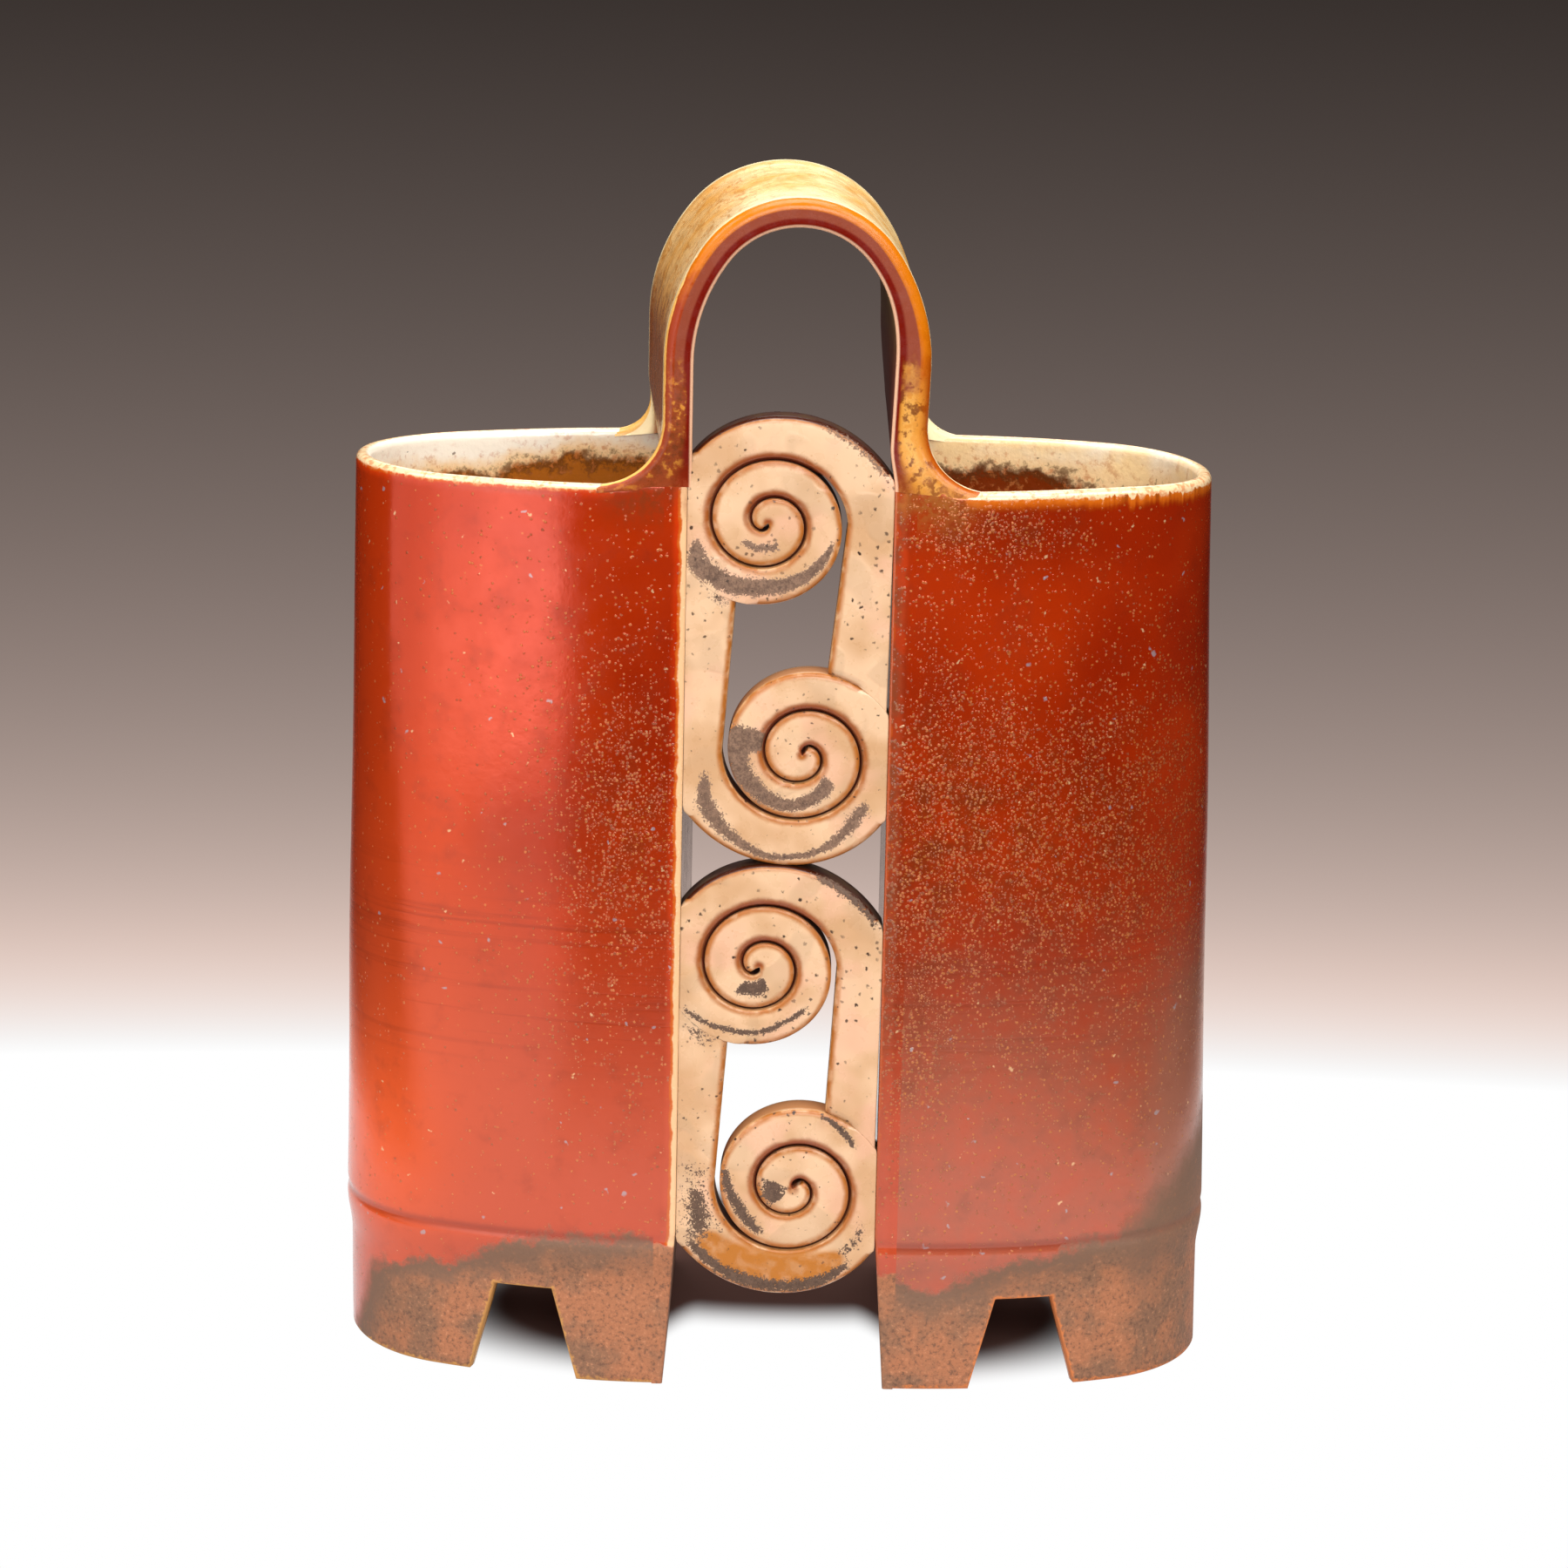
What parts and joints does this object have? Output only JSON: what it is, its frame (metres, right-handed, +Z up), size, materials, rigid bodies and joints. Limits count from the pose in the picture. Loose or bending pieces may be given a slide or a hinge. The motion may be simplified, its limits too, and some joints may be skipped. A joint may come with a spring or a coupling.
{
  "type": "stoneware vase",
  "caption": "Stoneware vase of paired half-oval vessels with notched feet, joined across an open gap by scroll panels and a broad arched strap handle.",
  "frame": {"origin": "centre of the footprint at table level", "axes": "+Z up, -Y towards the front that shows the scrolls flush with the walls, +X towards the right vessel seen from the front"},
  "size_m": [0.2828, 0.116, 0.3785],
  "materials": {
    "red_glaze": "satin-gloss iron-red glaze with fine cream specks, running out to bare brown clay at the foot",
    "cream_glaze": "satin cream glaze, ochre on the edges, with brown ash patches",
    "ochre_glaze": "gloss ochre ash glaze over iron red",
    "liner_glaze": "glossy cream liner pooling to golden brown",
    "toasted_clay": "thin toasted brown flashing on bare clay"
  },
  "bodies": {
    "root": {"left_shell": "red_glaze", "right_shell": "red_glaze", "left_inner_wall": "toasted_clay", "right_inner_wall": "toasted_clay", "left_floor": "liner_glaze", "right_floor": "liner_glaze", "handle": "ochre_glaze", "upper_right_scroll": "cream_glaze", "upper_left_scroll": "cream_glaze", "lower_right_scroll": "cream_glaze", "lower_left_scroll": "cream_glaze"}
  },
  "joints": []
}
